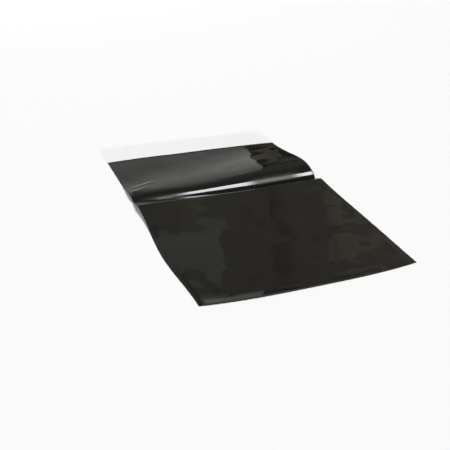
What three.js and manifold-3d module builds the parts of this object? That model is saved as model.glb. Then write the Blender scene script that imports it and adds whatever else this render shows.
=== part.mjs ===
// Flat poly mailer: one strip of black film folded at the bottom edge, welded along both sides and
// left longer at the back as a flap. A band of adhesive runs across the flap under a white liner.
// Millimetres, +Z up. The bag lies on its back with its flap towards +Y. It was packed folded in
// half, so a sharp crease crosses it and the film stands off the table in a hump beyond the crease.

import * as THREE from 'three';
import { mergeGeometries, mergeVertices } from 'three/addons/utils/BufferGeometryUtils.js';
import Module from 'manifold-3d';

// Bag
const bagWidth = 240;
const pocketLength = 350;
const flapLength = 50;
const flapCornerRadius = 5;
const filmThickness = 0.06;
const sideWeldWidth = 4;

// Closure on the flap
const linerThickness = 0.07;
const linerFromMouth = 0.5;
const adhesiveThickness = 0.05;
const adhesiveWidth = 22;
const adhesiveFromFlapEdge = 14;

// Crease: a sharp ridge past the middle of the bag, with a shoulder before it and a valley behind it
const creasePastMiddleLeft = 14;
const creasePastMiddleRight = 7;
const ridgeHeightLeft = 5.8;
const ridgeHeightRight = 5.5;
const shoulderReachLeft = 44;
const shoulderReachRight = 125;
const valleyFromCrease = 14;

// Hump behind the valley: low at the left edge, high at the right one
const crestFromValleyLeft = 25;
const crestFromValleyRight = 35;
const humpHeightLeft = 4.2;
const humpHeightRight = 11;
const humpEndToMouthLeft = 48;
const humpEndToMouthRight = 2;

// Air between the two plies
const bottomFoldDepth = 6;
const bottomFoldHeightLeft = 2.6;
const bottomFoldHeightRight = 1.4;
const pillowHeight = 2.8;
const pillowFromBottom = 90;
const creaseGap = 0.4;
const mouthGap = 1.2;

// Mesh density
const columnsAcross = 14;
const rowsInFold = 4;
const rowsInFlat = 5;
const rowsInCurve = 6;
const rowsInCorner = 4;

const totalLength = pocketLength + flapLength;
const weldOverlap = filmThickness / 2;
const mergeTolerance = 1e-4;
const { lerp, smoothstep, clamp } = THREE.MathUtils;

const wasm = await Module();
wasm.setup();

// Side edges of the bag: height of the back ply above the table along each, as a path of (length, height)
const leftEdge = sideEdge({
  crease: totalLength / 2 + creasePastMiddleLeft,
  ridge: ridgeHeightLeft,
  shoulder: shoulderReachLeft,
  crestFromValley: crestFromValleyLeft,
  hump: humpHeightLeft,
  humpEnd: pocketLength - humpEndToMouthLeft,
});
const rightEdge = sideEdge({
  crease: totalLength / 2 + creasePastMiddleRight,
  ridge: ridgeHeightRight,
  shoulder: shoulderReachRight,
  crestFromValley: crestFromValleyRight,
  hump: humpHeightRight,
  humpEnd: pocketLength - humpEndToMouthRight,
});

// Each stretch of the path runs between two features, so both edges have the same rows of points
function sideEdge({ crease, ridge, shoulder, crestFromValley, hump, humpEnd }) {
  const valley = crease + valleyFromCrease;
  const crest = valley + crestFromValley;
  const tail = humpEnd - crest;
  const path = new THREE.Path();
  path.moveTo(0, 0);
  path.lineTo(bottomFoldDepth, 0);
  path.lineTo(crease - shoulder, 0);
  path.bezierCurveTo(
    crease - 0.6 * shoulder, 0.25 * ridge, crease - 0.2 * shoulder, 0.45 * ridge, crease, ridge);
  path.lineTo(valley, 0);
  path.quadraticCurveTo(valley + 0.38 * crestFromValley, hump, crest, hump);
  path.bezierCurveTo(crest + 0.26 * tail, hump, crest + 0.46 * tail, 0.1 * hump, humpEnd, 0);
  path.lineTo(pocketLength, 0);
  path.lineTo(totalLength - flapCornerRadius, 0);
  path.lineTo(totalLength, 0);
  return path.curves;
}

// Rows of the film, as a stretch of the side edges and a place on it
const rowsOfPocket = [
  ...rowsOn(0, rowsInFold, foldRow),
  ...rowsOn(1, rowsInFlat),
  ...rowsOn(2, rowsInCurve),
  ...rowsOn(3, 2),
  ...rowsOn(4, rowsInCurve),
  ...rowsOn(5, rowsInCurve + 2),
  ...rowsOn(6, 1),
  { stretch: 7, at: 0 },
];
const rowsOfBag = [
  ...rowsOfPocket,
  ...rowsOn(8, rowsInCorner, cornerRow),
  { stretch: 8, at: 1 },
];

function rowsOn(stretch, count, spacing = (step) => step) {
  return Array.from({ length: count }, (_, i) => ({ stretch, at: spacing(i / count) }));
}

// Rows crowd towards the bottom edge, where the fold is round, and towards the flap's end
function foldRow(step) {
  return 1 - Math.cos((step * Math.PI) / 2);
}

function cornerRow(step) {
  return Math.sin((step * Math.PI) / 2);
}

// Columns of the film, as shares of its width, with one along the inner border of each weld
const weldShare = sideWeldWidth / bagWidth;
const columns = [0];
for (let i = 0; i <= columnsAcross; i++) {
  columns.push(lerp(weldShare, 1 - weldShare, i / columnsAcross));
}
columns.push(1);

// Underside of the back ply: straight across between the two side edges
function backPoint(share, { stretch, at }) {
  const left = leftEdge[stretch].getPoint(at);
  const right = rightEdge[stretch].getPoint(at);
  const along = lerp(left.x, right.x, share);
  const x = (share - 0.5) * 2 * halfWidthAt(along);
  return new THREE.Vector3(x, along, lerp(left.y, right.y, share));
}

// The flap's two free corners are round
function halfWidthAt(along) {
  const intoCorner = clamp(along - (totalLength - flapCornerRadius), 0, flapCornerRadius);
  return bagWidth / 2 - flapCornerRadius + Math.sqrt(flapCornerRadius ** 2 - intoCorner ** 2);
}

// Air gap between the plies: none at the welds and at the bottom edge, where they melt into each other
function plyGap(share, along) {
  const inside = clamp((share - weldShare) / (1 - 2 * weldShare), 0, 1);
  const acrossPillow = Math.sqrt(Math.sin(inside * Math.PI));
  const crease = totalLength / 2 + lerp(creasePastMiddleLeft, creasePastMiddleRight, share);
  const foldHeight = lerp(bottomFoldHeightLeft, bottomFoldHeightRight, share);
  const roundFold = Math.sqrt(1 - (1 - Math.min(along / bottomFoldDepth, 1)) ** 2);
  const lower = lerp(foldHeight, pillowHeight, smoothstep(along, 0, pillowFromBottom));
  const towardsCrease = smoothstep(along, pillowFromBottom, crease);
  const towardsMouth = smoothstep(along, crease, pocketLength);
  const open = lerp(lerp(lower, creaseGap, towardsCrease), mouthGap, towardsMouth);
  return open * roundFold * acrossPillow - weldOverlap;
}

// A thin closed sheet over the given rows: place gives the points of its lower face
function sheet(rows, place) {
  const lastColumn = columns.length - 1;
  const lastRow = rows.length - 1;
  const upper = grid(lastColumn, lastRow, (i, j) => lifted(place(columns[i], rows[j]), 1));
  const lower = grid(lastColumn, lastRow, (i, j) => place(columns[i], rows[j]));
  lower.setIndex(Array.from(lower.index.array).reverse());
  const border = borderOf(lastColumn, lastRow);
  const rim = grid(border.length, 1, (i, j) => {
    const [column, row] = border[i % border.length];
    return lifted(place(columns[column], rows[row]), j);
  });
  return mergeVertices(mergeGeometries([upper, lower, rim]), mergeTolerance);
}

function lifted(point, share) {
  point.z += share * filmThickness;
  return point;
}

// A grid of faces, with each point placed by its column, from the left, and its row, from the bottom
function grid(across, along, place) {
  const geometry = new THREE.PlaneGeometry(1, 1, across, along);
  geometry.deleteAttribute('normal');
  geometry.deleteAttribute('uv');
  const position = geometry.getAttribute('position');
  for (let i = 0; i < position.count; i++) {
    const column = i % (across + 1);
    const row = along - Math.floor(i / (across + 1));
    position.setXYZ(i, ...place(column, row));
  }
  return geometry;
}

// The columns and rows round the border of a grid, anticlockwise from its lower left corner
function borderOf(lastColumn, lastRow) {
  const border = [];
  for (let column = 0; column < lastColumn; column++) border.push([column, 0]);
  for (let row = 0; row < lastRow; row++) border.push([lastColumn, row]);
  for (let column = lastColumn; column > 0; column--) border.push([column, lastRow]);
  for (let row = lastRow; row > 0; row--) border.push([0, row]);
  return border;
}

function toSolid(geometry) {
  return new wasm.Manifold(new wasm.Mesh({
    numProp: 3,
    vertProperties: geometry.getAttribute('position').array,
    triVerts: new Uint32Array(geometry.index.array),
  }));
}

function toGeometry(solid) {
  const mesh = solid.getMesh();
  const geometry = new THREE.BufferGeometry();
  geometry.setAttribute('position', new THREE.BufferAttribute(mesh.vertProperties, 3));
  geometry.setIndex(new THREE.BufferAttribute(mesh.triVerts, 1));
  geometry.computeVertexNormals();
  return geometry;
}

// Film bag: the plies join at the bottom fold and along the side welds, and the mouth stays open
function filmBag() {
  const back = sheet(rowsOfBag, backPoint);
  const front = sheet(rowsOfPocket, (share, row) => {
    const point = backPoint(share, row);
    point.z += filmThickness + plyGap(share, point.y);
    return point;
  });
  return toGeometry(toSolid(back).add(toSolid(front)));
}

// Adhesive: a flat band across the flap, cut off flush with the side edges
function adhesiveStrip() {
  return new THREE.BoxGeometry(bagWidth, adhesiveWidth, adhesiveThickness);
}

// Liner: covers the flap from the mouth to its round-cornered end
function releaseLiner() {
  const half = bagWidth / 2;
  const start = pocketLength + linerFromMouth;
  const round = flapCornerRadius;
  const outline = new THREE.Shape();
  outline.moveTo(-half, start);
  outline.lineTo(half, start);
  outline.lineTo(half, totalLength - round);
  outline.absarc(half - round, totalLength - round, round, 0, Math.PI / 2);
  outline.lineTo(round - half, totalLength);
  outline.absarc(round - half, totalLength - round, round, Math.PI / 2, Math.PI);
  return new THREE.ExtrudeGeometry(outline, {
    depth: linerThickness,
    bevelEnabled: false,
    curveSegments: rowsInCorner,
  });
}

const blackFilm = new THREE.MeshStandardMaterial({ color: 0x1b1b19, roughness: 0.12, metalness: 0 });
const paleAdhesive = new THREE.MeshStandardMaterial({ color: 0xd8d2b8, roughness: 0.35, metalness: 0 });
const whitePaper = new THREE.MeshStandardMaterial({ color: 0xf2f2f2, roughness: 0.55, metalness: 0 });

function piece(name, geometry, material) {
  const mesh = new THREE.Mesh(geometry, material);
  mesh.name = name;
  return mesh;
}

const film = piece('film_bag', filmBag(), blackFilm);

const adhesive = piece('adhesive_strip', adhesiveStrip(), paleAdhesive);
adhesive.position.y = totalLength - adhesiveFromFlapEdge - adhesiveWidth / 2;
adhesive.position.z = filmThickness + adhesiveThickness / 2;

const liner = piece('release_liner', releaseLiner(), whitePaper);
liner.position.z = filmThickness + adhesiveThickness;

// The origin is under the middle of the bag
const mailer = new THREE.Group();
mailer.add(film, adhesive, liner);
mailer.position.y = -totalLength / 2;

export default mailer;
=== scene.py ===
"""Looks of a flat black poly mailer: glossy creased film, white liner on the flap, studio light."""

from math import cos, exp, pi, radians, sin, sqrt
from types import SimpleNamespace

import bmesh
import bpy
from mathutils import Matrix, Vector, noise


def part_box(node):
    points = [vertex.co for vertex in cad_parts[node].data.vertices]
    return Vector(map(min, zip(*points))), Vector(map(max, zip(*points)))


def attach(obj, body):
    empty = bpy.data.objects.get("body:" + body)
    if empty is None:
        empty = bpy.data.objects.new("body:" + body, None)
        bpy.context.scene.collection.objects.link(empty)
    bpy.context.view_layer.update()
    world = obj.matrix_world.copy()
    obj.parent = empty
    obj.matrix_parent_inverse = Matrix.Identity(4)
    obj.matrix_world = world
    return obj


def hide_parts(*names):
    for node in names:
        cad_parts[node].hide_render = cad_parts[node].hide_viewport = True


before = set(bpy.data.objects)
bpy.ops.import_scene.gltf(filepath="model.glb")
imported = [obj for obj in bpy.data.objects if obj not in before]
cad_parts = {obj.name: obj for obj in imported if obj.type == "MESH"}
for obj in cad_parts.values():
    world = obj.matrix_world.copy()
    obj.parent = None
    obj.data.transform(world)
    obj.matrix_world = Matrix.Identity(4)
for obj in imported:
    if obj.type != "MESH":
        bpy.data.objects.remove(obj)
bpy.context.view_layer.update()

MM = 0.001

# Sizes of the bag, the outer ones from the frame
film_low, film_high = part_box("film_bag")
liner_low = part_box("release_liner")[0]
WIDTH = film_high.x - film_low.x
LENGTH = film_high.y - film_low.y
LINER_FROM_MOUTH = 0.5 * MM
POCKET = liner_low.y - film_low.y - LINER_FROM_MOUTH
FILM = 0.06 * MM
WELD = 4 * MM
FLAP_CORNER = 5 * MM

# Crease and hump: places and heights of the back ply along the left and the right edge
LEFT = SimpleNamespace(
    crease=214 * MM,
    ridge=6.2 * MM,
    shoulder=74 * MM,
    valley=14 * MM,
    valley_rise=0,
    crest=10 * MM,
    foot=0.06,
    hump=4.2 * MM,
    hump_end=48 * MM,
    fall=0.46,
    fall_rise=0.1,
)
RIGHT = SimpleNamespace(
    crease=207 * MM,
    ridge=6 * MM,
    shoulder=118 * MM,
    valley=15.6 * MM,
    valley_rise=0,
    crest=33 * MM,
    foot=0.06,
    hump=11 * MM,
    hump_end=3 * MM,
    fall=0.53,
    fall_rise=0.2,
)
# The left weld draws the hump flatter, up to this share of the width
DRAWN = {
    "crease": 206 * MM,
    "valley": 18 * MM,
    "valley_rise": 1.9 * MM,
    "crest": 14 * MM,
    "foot": 0.3,
    "hump_end": 62 * MM,
}
DRAWN_REACH = 0.65

# How far from its top the ridge starts to round
RIDGE_ROUND = 1.15 * MM

# Bends of the shoulder, the hump's front and its tail, as shares of their reach or height
SHOULDER_START, SHOULDER_LIFT = 0.85, 0.02
SHOULDER_RISE = 0.42
FRONT_LIFT, FRONT_ROUND = 0.4, 0.42
TAIL_ROUND = 0.26

# Between the edges the hump rises and the ridge sinks by a share, and the crease sags to the bottom edge
HUMP_BULGE = 0.07
RIDGE_SAG = 0.05
CREASE_SAG = 7 * MM

# How far the edges below the crease bow out between the corners
LEFT_BOW, RIGHT_BOW, SIDE_BOW_LENGTH = 5.2 * MM, 2.4 * MM, 190 * MM
BOTTOM_BOW, BOTTOM_BOW_DEPTH = 6.3 * MM, 120 * MM

# Air between the plies
FOLD_DEPTH = 0.15 * MM
FOLD_LEFT, FOLD_RIGHT = 2.9 * MM, 0.5 * MM
DIP_LEFT, DIP_RIGHT = 0.6 * MM, 0.5 * MM
LIP_DEPTH, LIP_SIDE = 15 * MM, 3 * MM
PILLOW, PILLOW_SIDE = 1.1 * MM, 60 * MM
PILLOW_START, PILLOW_FROM_BOTTOM = 9 * MM, 90 * MM
CREASE_GAP = 0.4 * MM
MOUTH_GAP = 0.9 * MM
RIM_DEPTH, RIM_CURL = 2.5 * MM, 0.45 * MM

# Ripples in the front ply: size of one wave and its height
RIPPLES = [(44 * MM, 0.3 * MM), (23 * MM, 0.13 * MM), (14 * MM, 0.05 * MM)]

# Pinched wrinkles in the front ply, in millimetres: start and end from the bag's middle line and its
# bottom edge, width, height
WRINKLES = [
    ((-114, 257), (-80, 272), 2.6, 0.7),
    ((-119, 244), (-88, 258), 2.4, 0.6),
    ((-119, 245), (-107, 248), 1.8, 0.4),
    ((-47, 108), (-35, 114), 1.8, 0.1),
    ((-119, 48), (-98, 80), 3.5, 0.28),
    ((-101, 29), (-75, 31), 17, 0.55),
    ((-83, 46), (-71, 49), 2.5, 0.14),
]
# How much wider a wrinkle's near side is than its far side
WRINKLE_NEAR_SIDE = 2.6

# Rows of the film mesh on each stretch of a side edge and on the flap
ROWS = {
    "fold": 1,
    "flat": 36,
    "shoulder": 32,
    "ridge": 7,
    "back": 8,
    "front": 30,
    "tail": 44,
    "mouth": 4,
    "rim": 4,
}
FLAP_ROWS = 6
CORNER_ROWS = 6

# Columns of the film mesh, and how much they crowd towards the welds
COLUMNS = 112
CROWDING = 0.08

# Points nearer than this become one
MERGE = 0.001 * MM

# How the middle of each stretch departs from a straight line between the edges: share of its height that
# it rises, and sag towards the bottom edge at its first and last row
MIDDLE = {
    "fold": (0, 0, 0),
    "flat": (0, 0, CREASE_SAG),
    "shoulder": (-RIDGE_SAG, CREASE_SAG, CREASE_SAG),
    "ridge": (-RIDGE_SAG, CREASE_SAG, CREASE_SAG),
    "back": (-RIDGE_SAG, CREASE_SAG, CREASE_SAG),
    "front": (HUMP_BULGE, CREASE_SAG, CREASE_SAG),
    "tail": (HUMP_BULGE, CREASE_SAG, 0),
    "mouth": (0, 0, 0),
    "rim": (0, 0, 0),
}


def mix(a, b, share):
    return a + (b - a) * share


def clamp(value, low=0.0, high=1.0):
    return min(max(value, low), high)


def smoothstep(value, low, high):
    share = clamp((value - low) / (high - low))
    return share * share * (3 - 2 * share)


def on_curve(points, share):
    """A point on the Bezier curve of any number of points."""
    while len(points) > 1:
        points = [a.lerp(b, share) for a, b in zip(points, points[1:])]
    return points[0]


def from_corner(corner, towards, reach):
    """The point at some reach from a corner, towards another point."""
    return corner + (towards - corner).normalized() * reach


def side_edge(side):
    """Stretches of one side edge of the bag, as curves of (length, height)."""
    foot = Vector((side.crease - side.shoulder, 0))
    start = Vector((side.crease - SHOULDER_START * side.shoulder, SHOULDER_LIFT * side.ridge))
    rising = Vector((side.crease - SHOULDER_RISE * side.shoulder, SHOULDER_RISE * side.ridge))
    top = Vector((side.crease, side.ridge))
    before_top = from_corner(top, rising, RIDGE_ROUND)
    valley = Vector((side.crease + side.valley, side.valley_rise))
    after_top = from_corner(top, valley, RIDGE_ROUND)
    crest = Vector((valley.x + side.crest, side.hump))
    climb = crest - valley
    end = Vector((POCKET - side.hump_end, 0))
    tail = end.x - crest.x
    fold = Vector((FOLD_DEPTH, 0))
    rim = Vector((POCKET - RIM_DEPTH, 0))
    return {
        "fold": [Vector((0, 0)), fold],
        "flat": [fold, foot],
        "shoulder": [foot, start, rising, before_top],
        "ridge": [before_top, top, after_top],
        "back": [after_top, valley],
        "front": [
            valley,
            valley + Vector((side.foot * climb.x, FRONT_LIFT * climb.y)),
            Vector((valley.x + FRONT_ROUND * climb.x, crest.y)),
            crest,
        ],
        "tail": [
            crest,
            Vector((crest.x + TAIL_ROUND * tail, crest.y)),
            Vector((crest.x + side.fall * tail, side.fall_rise * crest.y)),
            end,
        ],
        "mouth": [end, rim],
        "rim": [rim, Vector((POCKET, 0))],
    }


LEFT_EDGE = side_edge(LEFT)
RIGHT_EDGE = side_edge(RIGHT)
DRAWN_EDGE = side_edge(SimpleNamespace(**{**vars(LEFT), **DRAWN}))


def edge_rows():
    """The left and right end of each row of the film, from the bottom fold to the flap's end."""
    edges = (LEFT_EDGE, RIGHT_EDGE, DRAWN_EDGE)
    rows = []
    for name, count in ROWS.items():
        bulge, first_sag, last_sag = MIDDLE[name]
        for step in range(count):
            share = step / count
            left, right, drawn = (on_curve(edge[name], share) for edge in edges)
            sag = mix(first_sag, last_sag, smoothstep(share, 0, 1))
            rows.append((left, right, drawn - left, bulge, sag))
    pocket_rows = len(rows)
    corner = LENGTH - FLAP_CORNER
    flap = [mix(POCKET, corner, step / FLAP_ROWS) for step in range(FLAP_ROWS)]
    flap += [corner + FLAP_CORNER * sin(step / CORNER_ROWS * pi / 2) for step in range(CORNER_ROWS + 1)]
    rows += [(Vector((along, 0)), Vector((along, 0)), Vector((0, 0)), 0, 0) for along in flap]
    return rows, pocket_rows


def half_width(along):
    """Half the film's width, less in the flap's round corners."""
    into = clamp(along - LENGTH + FLAP_CORNER, 0, FLAP_CORNER)
    return WIDTH / 2 - FLAP_CORNER + sqrt(FLAP_CORNER**2 - into**2)


def bowed(share, along):
    """Place of the film on the table, with the edges below the crease bowed outwards."""
    side = sin(pi * clamp(along / SIDE_BOW_LENGTH)) ** 2
    bottom = (1 - abs(2 * share - 1) ** 3) * (1 - clamp(along / BOTTOM_BOW_DEPTH)) ** 2
    across = (share - 0.5) * 2 * half_width(along)
    across += side * (RIGHT_BOW * share**2 - LEFT_BOW * (1 - share) ** 2)
    return across, along - bottom * BOTTOM_BOW - LENGTH / 2


def risen(inset, reach):
    """From 0 at an edge to 1 where the ply has come to its full height."""
    return 1 - (1 - clamp(inset / reach)) ** 2


def inside_weld(share):
    """How far a place across the bag lies inside the nearer weld."""
    return min(share, 1 - share) * WIDTH - WELD


def ply_gap(share, along):
    """Air between the plies, none at the welds and the bottom edge, with a lip along the bottom fold."""
    inset = inside_weld(share)
    crease = mix(LEFT.crease, RIGHT.crease, share)
    fold = mix(FOLD_LEFT, FOLD_RIGHT, share)
    dip = mix(DIP_LEFT, DIP_RIGHT, share)
    lip = mix(fold, dip, risen(along, LIP_DEPTH)) * risen(inset, LIP_SIDE)
    side = risen(inset, PILLOW_SIDE)
    gap = mix(lip, PILLOW * side, smoothstep(along, PILLOW_START, PILLOW_FROM_BOTTOM))
    gap = mix(gap, CREASE_GAP * side, smoothstep(along, PILLOW_FROM_BOTTOM, crease))
    gap = mix(gap, MOUTH_GAP * side, smoothstep(along, crease, POCKET))
    curl = RIM_CURL * clamp(1 - (POCKET - along) / RIM_DEPTH) ** 2 * risen(inset, LIP_SIDE)
    return gap * min(along / FOLD_DEPTH, 1) + curl


def creasing(share, along):
    """Ripples and pinched wrinkles of the front ply, none at the welds and the bottom fold."""
    place = Vector(((share - 0.5) * WIDTH, along))
    height = 0
    for size, rise in RIPPLES:
        height += rise * noise.noise(Vector((place.x / size, place.y / size, size / MM)))
    for start, end, width, rise in WRINKLES:
        start, end = Vector(start) * MM, Vector(end) * MM
        run = end - start
        share_run = clamp((place - start).dot(run) / run.length_squared)
        off = (place - start.lerp(end, share_run)).length / (width * MM)
        if run.cross(place - start) < 0:
            off /= WRINKLE_NEAR_SIDE
        height += rise * MM * exp(-off * off) * sin(pi * share_run)
    return height * risen(inside_weld(share), LIP_SIDE) * smoothstep(along, 0, LIP_DEPTH)


def back_ply(share, row):
    """Length and height of the back ply's underside, at a share of the width of one row."""
    left, right, drawn, bulge, sag = row
    along, height = left.lerp(right, share) + drawn * (1 - clamp(share / DRAWN_REACH)) ** 2
    along -= sag * sin(pi * share)
    height *= 1 + bulge * sin(pi * share) * clamp(height / LEFT.hump)
    return along, height


def film_bag():
    """One strip of film: from the mouth down the front, round the bottom fold and up to the flap."""
    rows, pocket_rows = edge_rows()
    last = pocket_rows + len(rows) - 1
    names = list(ROWS)
    valley_row = sum(ROWS[name] for name in names[: names.index("front")])
    bent_rows = {0, ROWS["fold"], valley_row}
    bent = set()
    strip = bmesh.new()
    bmesh.ops.create_grid(strip, x_segments=COLUMNS, y_segments=last, size=0.5)
    for vertex in strip.verts:
        # Steps count rows from the bottom fold, below zero in the front ply
        step = round((vertex.co.y + 0.5) * last) - pocket_rows
        even = vertex.co.x + 0.5
        share = even - CROWDING * sin(2 * pi * even)
        along, height = back_ply(share, rows[abs(step)])
        at_side = min(even, 1 - even) < 0.5 / COLUMNS
        # The points lie in the middle of the film, and the plies meet at the welds
        if at_side and 0 < abs(step) <= pocket_rows:
            height += FILM
        elif step < 0:
            height += 1.5 * FILM + max(ply_gap(share, along) + creasing(share, along), 0)
        else:
            height += FILM / 2
        vertex.co = (*bowed(share, along), height)
        if abs(step) in bent_rows:
            bent.add(vertex)
    for edge in strip.edges:
        edge.smooth = not bent.issuperset(edge.verts)
    bmesh.ops.remove_doubles(strip, verts=strip.verts, dist=MERGE)
    for edge in strip.edges:
        if edge.is_boundary:
            edge.smooth = False
    bmesh.ops.recalc_face_normals(strip, faces=strip.faces)
    return finished("film_bag_skin", strip)


def finished(name, shape):
    """An object at the origin that holds the shape, with smooth faces."""
    mesh = bpy.data.meshes.new(name)
    shape.to_mesh(mesh)
    shape.free()
    mesh.shade_smooth()
    piece = bpy.data.objects.new(name, mesh)
    bpy.context.collection.objects.link(piece)
    return piece


class Wire:
    """A socket in a node tree. Arithmetic on it adds Math nodes."""

    def __init__(self, tree, socket=None):
        self.tree, self.socket = tree, socket

    def node(self, kind, settings=(), inputs=(), output=0):
        """Adds a node with its settings and the values or wires of its sockets."""
        made = self.tree.nodes.new(kind)
        for name, value in dict(settings).items():
            if name == "stops":
                self.set_stops(made.color_ramp.elements, value)
            else:
                setattr(made, name, value)
        for name, value in dict(inputs).items():
            if isinstance(value, Wire):
                self.tree.links.new(value.socket, made.inputs[name])
            else:
                made.inputs[name].default_value = value
        return Wire(self.tree, made.outputs[output]) if made.outputs else None

    @staticmethod
    def set_stops(elements, stops):
        while len(elements) < len(stops):
            elements.new(1)
        for element, (place, grey) in zip(elements, stops):
            element.position = place
            element.color = (grey, grey, grey, 1)

    def math(self, operation, first, second):
        return self.node("ShaderNodeMath", {"operation": operation}, {0: first, 1: second})

    def __add__(self, other):
        return self.math("ADD", self, other)

    def __mul__(self, other):
        return self.math("MULTIPLY", self, other)

    def __sub__(self, other):
        return self.math("SUBTRACT", self, other)

    def __rsub__(self, other):
        return self.math("SUBTRACT", other, self)

    __radd__ = __add__
    __rmul__ = __mul__


# Colours of each finish, from its darker to its paler parts
FILM_TINTS = (0.0056, 0.0055, 0.005, 1), (0.0088, 0.0086, 0.0076, 1)
LINER_TINTS = (0.865, 0.865, 0.863, 1), (0.905, 0.905, 0.905, 1)
ADHESIVE_TINTS = (0.62, 0.57, 0.4, 1), (0.74, 0.7, 0.55, 1)

# Roughness of the film, and what haze, scratches and the pressed part of the welds add to it
GLOSSY = 0.02
HAZE_ROUGHNESS, SCRATCH_ROUGHNESS, WELD_ROUGHNESS = 0.035, 0.08, 0.12
PRESSED_WELD = 0.6 * WELD

# Scratches: their turns in degrees, how far they are drawn out, and how few they are
SCRATCH_TURNS = (24, -52)
SCRATCH_STRETCH = (14, 420, 1)
SCRATCH_SHARE = {"From Min": 0.68, "From Max": 0.8}

# Patches of the hump's front where the film has lost its gloss: middle and reach in millimetres
WORN = [((63, 26, 4), (45, 18, 30)), ((-98, 24, 4), (54, 26, 30))]
WORN_BORDER = {"From Min": 0.5, "From Max": 1, "To Min": 1, "To Max": 0}
WORN_DULLNESS = 0.94


def new_finish(name):
    """A material with an empty node tree, and a wire to build it from."""
    material = bpy.data.materials.new(name)
    material.use_nodes = True
    material.node_tree.nodes.clear()
    return material, Wire(material.node_tree)


def clouded(place, scale, detail, roughness=0.5):
    """Cloudy values from about 0 to 1."""
    return place.node(
        "ShaderNodeTexNoise",
        inputs={"Vector": place, "Scale": scale, "Detail": detail, "Roughness": roughness},
    )


def tinted(share, darker, paler):
    """A colour between two."""
    return share.node(
        "ShaderNodeMix", {"data_type": "RGBA"}, {"Factor": share, "A": darker, "B": paler}, "Result"
    )


def scratched(place, turn):
    """Thin straight streaks, turned by some degrees round the film's normal."""
    turned = place.node(
        "ShaderNodeMapping",
        inputs={"Vector": place, "Rotation": (0, 0, radians(turn)), "Scale": SCRATCH_STRETCH},
    )
    streaks = clouded(turned, 1, 2)
    return streaks.node("ShaderNodeMapRange", inputs={"Value": streaks, **SCRATCH_SHARE})


def worn_patch(place, middle, size):
    """1 in the middle of a round patch of the film and 0 past its size."""
    scale = tuple(1 / (length * MM) for length in size)
    spot = tuple(-length * MM * factor for length, factor in zip(middle, scale))
    around = place.node("ShaderNodeMapping", inputs={"Vector": place, "Location": spot, "Scale": scale})
    far = around.node("ShaderNodeVectorMath", {"operation": "LENGTH"}, {0: around}, "Value")
    return far.node(
        "ShaderNodeMapRange", {"interpolation_type": "SMOOTHSTEP"}, {"Value": far, **WORN_BORDER}
    )


def black_film():
    """Glossy black film with hazy patches, hair scratches, a fine grain and pressed side welds."""
    material, start = new_finish("black_film")
    place = start.node("ShaderNodeTexCoord", output="Object")
    across = start.node("ShaderNodeSeparateXYZ", inputs={"Vector": place}, output="X")
    from_middle = across.math("ABSOLUTE", across, 0)
    weld = from_middle.math("GREATER_THAN", from_middle, WIDTH / 2 - PRESSED_WELD)
    haze = clouded(place, 34, 5)
    grain = clouded(place, 1400, 2)
    scratches = sum(scratched(place, turn) for turn in SCRATCH_TURNS)
    worn = sum(worn_patch(place, *patch) for patch in WORN)
    tint = tinted(haze, *FILM_TINTS)
    rough = GLOSSY + haze * HAZE_ROUGHNESS + scratches * SCRATCH_ROUGHNESS + weld * WELD_ROUGHNESS
    bump = start.node(
        "ShaderNodeBump",
        inputs={"Strength": 0.05, "Distance": 0.01 * MM, "Height": grain * 0.4 + scratches},
    )
    glossy = start.node(
        "ShaderNodeBsdfPrincipled",
        inputs={"Base Color": tint, "Roughness": rough, "IOR": 1.5, "Normal": bump},
    )
    dull = start.node(
        "ShaderNodeBsdfPrincipled",
        inputs={"Base Color": tint, "Roughness": 0.3, "Specular IOR Level": 0.14, "Normal": bump},
    )
    surface = start.node("ShaderNodeMixShader", inputs={0: worn * WORN_DULLNESS, 1: glossy, 2: dull})
    start.node("ShaderNodeOutputMaterial", inputs={"Surface": surface})
    return material


def white_liner():
    """White coated paper: faint cloudy mottling and a fine fibre grain."""
    material, start = new_finish("white_liner")
    place = start.node("ShaderNodeTexCoord", output="Object")
    mottling = clouded(place, 55, 4)
    fibres = clouded(place, 900, 3)
    tint = tinted(mottling * 0.7 + fibres * 0.3, *LINER_TINTS)
    bump = start.node(
        "ShaderNodeBump", inputs={"Strength": 0.1, "Distance": 0.02 * MM, "Height": fibres}
    )
    surface = start.node(
        "ShaderNodeBsdfPrincipled",
        inputs={"Base Color": tint, "Roughness": 0.42 + fibres * 0.16, "Normal": bump},
    )
    start.node("ShaderNodeOutputMaterial", inputs={"Surface": surface})
    return material


def hot_melt():
    """Pale tacky adhesive, laid in fine ribs along the flap."""
    material, start = new_finish("hot_melt")
    place = start.node("ShaderNodeTexCoord", output="Object")
    clouds = clouded(place, 80, 3)
    ribs = start.node(
        "ShaderNodeTexWave",
        {"bands_direction": "Y"},
        {"Vector": place, "Scale": 160, "Distortion": 1.5, "Detail": 2},
        "Fac",
    )
    bump = start.node("ShaderNodeBump", inputs={"Strength": 0.3, "Distance": 0.02 * MM, "Height": ribs})
    surface = start.node(
        "ShaderNodeBsdfPrincipled",
        inputs={
            "Base Color": tinted(clouds, *ADHESIVE_TINTS),
            "Roughness": 0.28 + clouds * 0.14,
            "Normal": bump,
        },
    )
    start.node("ShaderNodeOutputMaterial", inputs={"Surface": surface})
    return material


def give(piece, material):
    piece.data.materials.clear()
    piece.data.materials.append(material)


film = film_bag()
thickness = film.modifiers.new("film_thickness", "SOLIDIFY")
thickness.thickness = FILM
thickness.offset = 0
give(film, black_film())
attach(film, "root")
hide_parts("film_bag")
give(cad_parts["release_liner"], white_liner())
give(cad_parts["adhesive_strip"], hot_melt())

# Studio: white floor, a key light high at the right, a soft fill at the left, cards behind and in front
FLOOR_SIZE = 9.0
FLOOR_TINT = (0.92, 0.917, 0.92, 1)
KEY = {"azimuth": 88, "elevation": 67, "width": 25, "strength": 2.4}
FILL = {"azimuth": 262, "elevation": 55, "width": 50, "strength": 0.72}
ROOM_LIGHT = 0.12

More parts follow.
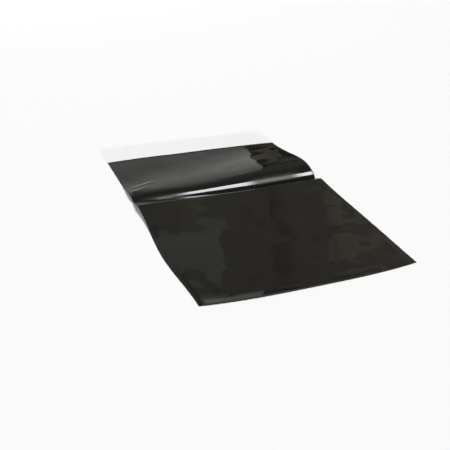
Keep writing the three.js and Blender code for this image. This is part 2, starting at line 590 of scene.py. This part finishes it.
# Cards and the wall of the room: their sides, and how far the top of the right side leans out
SOFTBOX = {"left": -1.8, "right": 0.67, "back": 1.7, "low": 0, "high": 0.92, "lean": 0.16}
GREY_CARD = {"left": -1.8, "right": 0.61, "back": 1.7, "low": 0.92, "high": 1.275, "lean": 0.14}
FAR_WALL = {"left": 0.4, "right": 4.2, "back": 1.72, "low": 0, "high": 1.55}
FRONT_CARD = {"size": (3.4, 1.8), "place": (0, -2.4, 1.1), "tilt": -pi / 2}

# Light of the cards: the softbox's by its height
CARD_TINT = (0.955, 1, 0.92, 1)
SOFTBOX_STOPS = [(0.08, 0.78), (0.3, 0.57), (0.45, 0.48), (0.72, 0.42), (0.92, 0.31)]
GREY_CARD_LIGHT = 0.28
FRONT_CARD_LIGHT = 0.35

# Light of the wall: by its blots, which are paler past a ragged line at the right, and by its height
WALL_TINT = (0.2, 0.18, 0.142, 1)
WALL_STOPS = [(0.3, 0.15), (0.46, 0.85), (0.62, 1.0), (0.72, 1.5)]
WALL_PALER = {"From Min": 1.92, "From Max": 1.97, "To Min": 0, "To Max": 0.2}
WALL_RAGGED = 1.2
WALL_SHADE = {"From Min": 0.98, "From Max": 1.35, "To Min": 0.84, "To Max": 1.08}

# Dark clutter before the foot of the wall
CLUTTER_HEIGHT = {"From Min": 0.7, "From Max": 0.85, "To Min": 1, "To Max": 0}
CLUTTER_DARK = {"From Min": 0.47, "From Max": 0.53, "To Min": 0.85, "To Max": 0}


def studio_plane(name, size, place, tilt=0.0):
    plane = bmesh.new()
    bmesh.ops.create_grid(plane, x_segments=1, y_segments=1, size=0.5)
    bmesh.ops.scale(plane, vec=(size[0], size[1], 1), verts=plane.verts)
    bmesh.ops.rotate(plane, matrix=Matrix.Rotation(tilt, 3, "X"), verts=plane.verts)
    bmesh.ops.translate(plane, vec=place, verts=plane.verts)
    piece = finished(name, plane)
    return piece


def upright_card(name, left, right, back, low, high, lean=0.0):
    """A card whose right edge leans outwards."""
    middle = ((left + right) / 2, back, (low + high) / 2)
    card = studio_plane(name, (right - left, high - low), middle, pi / 2)
    max(card.data.vertices, key=lambda corner: corner.co.x + corner.co.z).co.x += lean
    return card


def floor_paint():
    material, start = new_finish("floor_paint")
    surface = start.node("ShaderNodeBsdfDiffuse", inputs={"Color": FLOOR_TINT})
    start.node("ShaderNodeOutputMaterial", inputs={"Surface": surface})
    return material


def patterned_glow(light, tint):
    """A surface that shines in one colour, more or less by the light's value."""
    colour = light.node(
        "ShaderNodeMix",
        {"data_type": "RGBA", "blend_type": "MULTIPLY"},
        {"Factor": 1, "A": tint, "B": light},
        "Result",
    )
    surface = light.node("ShaderNodeEmission", inputs={"Color": colour})
    light.node("ShaderNodeOutputMaterial", inputs={"Surface": surface})


def softbox_glow():
    """The softbox behind the bag is brightest at its foot."""
    material, start = new_finish("softbox_glow")
    place = start.node("ShaderNodeTexCoord", output="Object")
    height = start.node("ShaderNodeSeparateXYZ", inputs={"Vector": place}, output="Z")
    light = start.node("ShaderNodeValToRGB", {"stops": SOFTBOX_STOPS}, {0: height})
    patterned_glow(light, CARD_TINT)
    return material


def wall_glow():
    """The room beyond the cards: a dim blotted wall, paler at its right, with clutter at its foot."""
    material, start = new_finish("wall_glow")
    place = start.node("ShaderNodeTexCoord", output="Object")
    across = start.node("ShaderNodeSeparateXYZ", inputs={"Vector": place}, output="X")
    height = start.node("ShaderNodeSeparateXYZ", inputs={"Vector": place}, output="Z")
    blots = clouded(place, 3.4, 4, 0.6)
    clutter = clouded(place, 5.5, 3)
    ragged = across + clutter * WALL_RAGGED
    paler = start.node("ShaderNodeMapRange", inputs={"Value": ragged, **WALL_PALER})
    shade = start.node("ShaderNodeMapRange", inputs={"Value": height, **WALL_SHADE})
    low = start.node("ShaderNodeMapRange", inputs={"Value": height, **CLUTTER_HEIGHT})
    dark = start.node("ShaderNodeMapRange", inputs={"Value": clutter, **CLUTTER_DARK}) * low
    light = start.node("ShaderNodeValToRGB", {"stops": WALL_STOPS}, {0: blots + paler})
    patterned_glow(light * shade * (1 - dark), WALL_TINT)
    return material


def plain_glow(name, strength):
    material, start = new_finish(name)
    surface = start.node("ShaderNodeEmission", inputs={"Color": CARD_TINT, "Strength": strength})
    start.node("ShaderNodeOutputMaterial", inputs={"Surface": surface})
    return material


def studio_sun(name, azimuth, elevation, width, strength):
    """A soft distant light. Azimuth 0 is behind the bag and 90 at its right."""
    light = bpy.data.lights.new(name, "SUN")
    light.energy = strength
    light.angle = radians(width)
    lamp = bpy.data.objects.new(name, light)
    around, up = radians(azimuth), radians(elevation)
    direction = Vector((sin(around) * cos(up), cos(around) * cos(up), sin(up)))
    lamp.rotation_euler = direction.to_track_quat("Z", "Y").to_euler()
    bpy.context.collection.objects.link(lamp)


give(studio_plane("floor", (FLOOR_SIZE, FLOOR_SIZE), (0, 0, 0)), floor_paint())
give(upright_card("softbox", **SOFTBOX), softbox_glow())
give(upright_card("grey_card", **GREY_CARD), plain_glow("grey_card_glow", GREY_CARD_LIGHT))
give(upright_card("far_wall", **FAR_WALL), wall_glow())
give(studio_plane("front_card", **FRONT_CARD), plain_glow("front_card_glow", FRONT_CARD_LIGHT))
studio_sun("key_light", **KEY)
studio_sun("fill_light", **FILL)

world = bpy.data.worlds.new("room")
bpy.context.scene.world = world
world.use_nodes = True
room_glow = world.node_tree.nodes["Background"]
room_glow.inputs["Color"].default_value = (1, 1, 1, 1)
room_glow.inputs["Strength"].default_value = ROOM_LIGHT

# Camera at the photograph's viewing angle, with its focal length and picture width in pixels
CAMERA_PLACE = (-312.24 * MM, -712.12 * MM, 377.54 * MM)
CAMERA_AZIMUTH, CAMERA_ELEVATION, CAMERA_ROLL = radians(-22.83), radians(28.09), radians(1.95)
FOCAL_LENGTH, PICTURE_WIDTH = 718.07, 450
SENSOR_WIDTH = 36.0

camera_data = bpy.data.cameras.new("camera")
camera_data.sensor_width = SENSOR_WIDTH
camera_data.lens = FOCAL_LENGTH / PICTURE_WIDTH * SENSOR_WIDTH
camera = bpy.data.objects.new("camera", camera_data)
camera.matrix_world = (
    Matrix.Translation(CAMERA_PLACE)
    @ Matrix.Rotation(CAMERA_AZIMUTH, 4, "Z")
    @ Matrix.Rotation(pi / 2 - CAMERA_ELEVATION, 4, "X")
    @ Matrix.Rotation(CAMERA_ROLL, 4, "Z")
)
bpy.context.collection.objects.link(camera)
bpy.context.scene.camera = camera
bpy.context.scene.view_settings.view_transform = "Standard"
